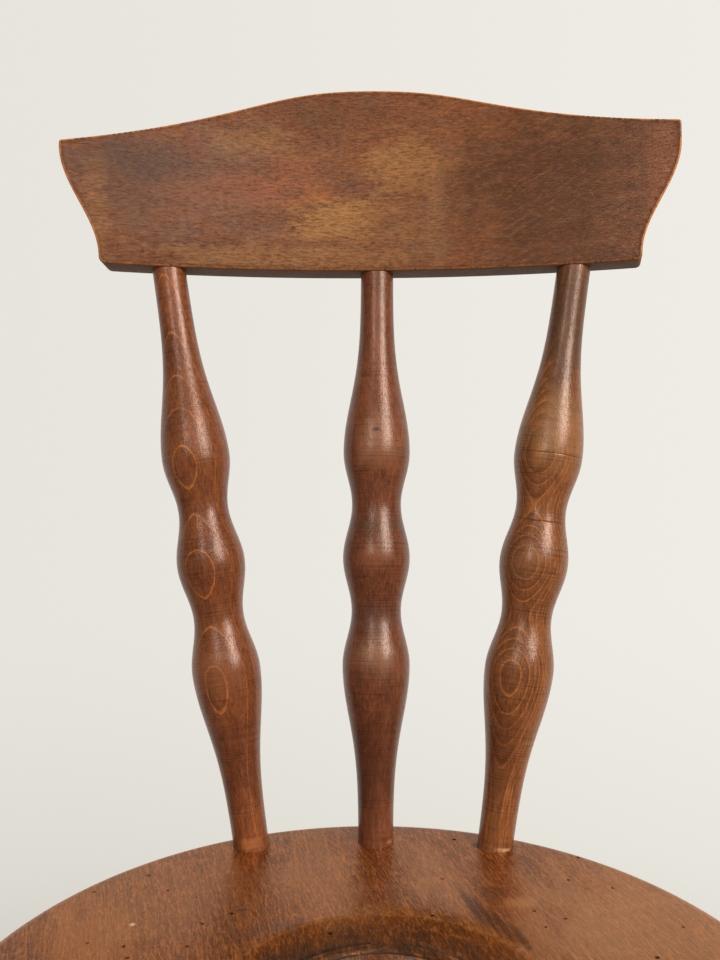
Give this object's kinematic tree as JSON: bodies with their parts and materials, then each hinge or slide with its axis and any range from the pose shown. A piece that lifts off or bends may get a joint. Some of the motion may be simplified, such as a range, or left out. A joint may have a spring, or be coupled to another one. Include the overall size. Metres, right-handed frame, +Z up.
{
  "type": "spindle back chair",
  "caption": "Spindle back chair with a round dished top, splayed turned legs, turned back spindles and a bent, shaped back rail in worn varnish.",
  "frame": {"origin": "on the floor, in the middle of the chair's box in plan", "axes": "+Z up, -Y the way the chair faces, +X to the right as seen from the front"},
  "size_m": [0.387, 0.4502, 0.8826],
  "materials": {
    "seat_wood": "worn satin varnish over a brown stain",
    "rail_wood": "worn, blotchy satin varnish over a brown stain",
    "spindle_wood": "satin varnish over a brown stain",
    "leg_wood": "satin varnish over a brown stain"
  },
  "bodies": {
    "root": {"seat": "seat_wood", "crest_rail": "rail_wood", "back_spindle_left": "spindle_wood", "back_spindle_centre": "spindle_wood", "back_spindle_right": "spindle_wood", "leg_front_left": "leg_wood", "leg_front_right": "leg_wood", "leg_rear_left": "leg_wood", "leg_rear_right": "leg_wood"}
  },
  "joints": []
}
